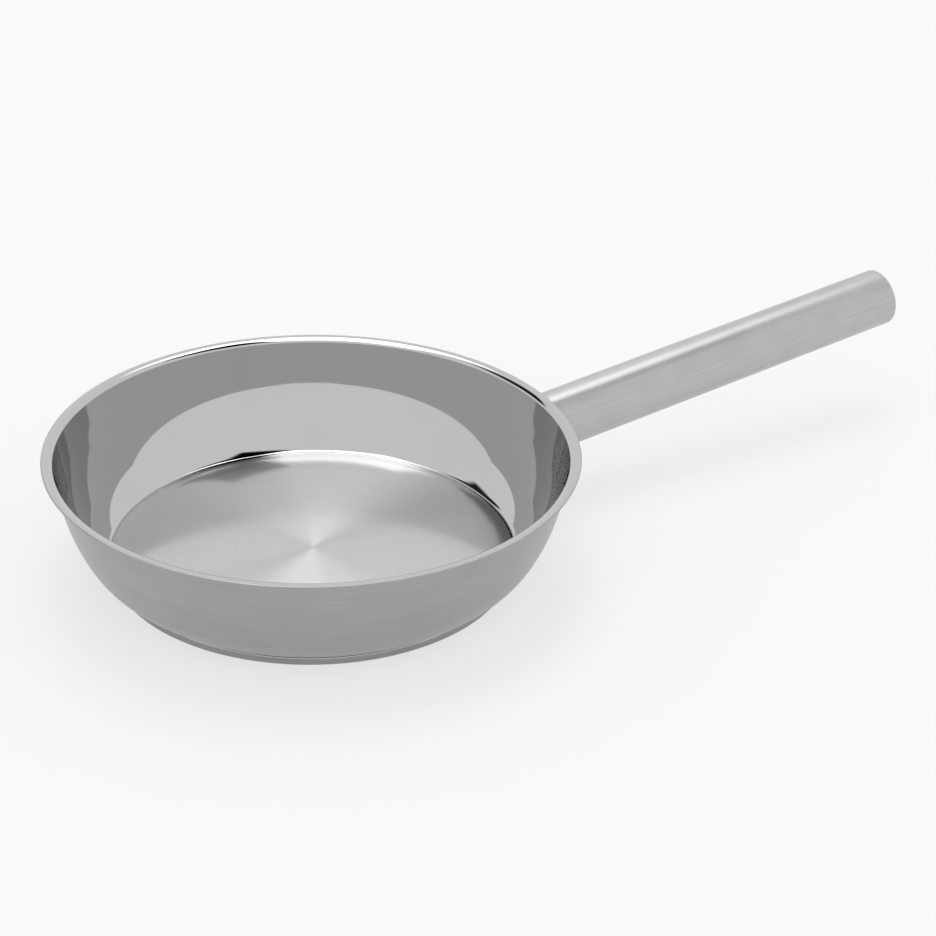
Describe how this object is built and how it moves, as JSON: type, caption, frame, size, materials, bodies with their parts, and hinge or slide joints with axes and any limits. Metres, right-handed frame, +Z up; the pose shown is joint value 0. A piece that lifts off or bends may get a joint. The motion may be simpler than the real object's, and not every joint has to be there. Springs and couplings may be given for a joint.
{
  "type": "frying pan",
  "caption": "Stainless steel frying pan with a flared pouring rim, a capped heat-spreading base and a straight tubular handle.",
  "frame": {"origin": "centre of the flat underside of the base, on the pan's axis", "axes": "+Z up out of the bowl, +X from the pan's axis towards the handle"},
  "size_m": [0.4724, 0.25, 0.0703],
  "materials": {
    "bowl_steel": "satin outside, mirror polish on the inner wall and rim, radially brushed cooking floor",
    "core_aluminium": "turned edge, matt",
    "cap_steel": "satin, turned in circles",
    "handle_steel": "brushed along its length",
    "mounting_steel": "plain pressed, hidden",
    "weld_steel": "brushed weld seam"
  },
  "bodies": {
    "root": {"pan_body": "bowl_steel", "base_core": "core_aluminium", "base_cap": "cap_steel", "handle_tube": "handle_steel", "handle_mounting_cup": "mounting_steel", "handle_end_cap": "handle_steel", "handle_weld": "weld_steel"}
  },
  "joints": []
}
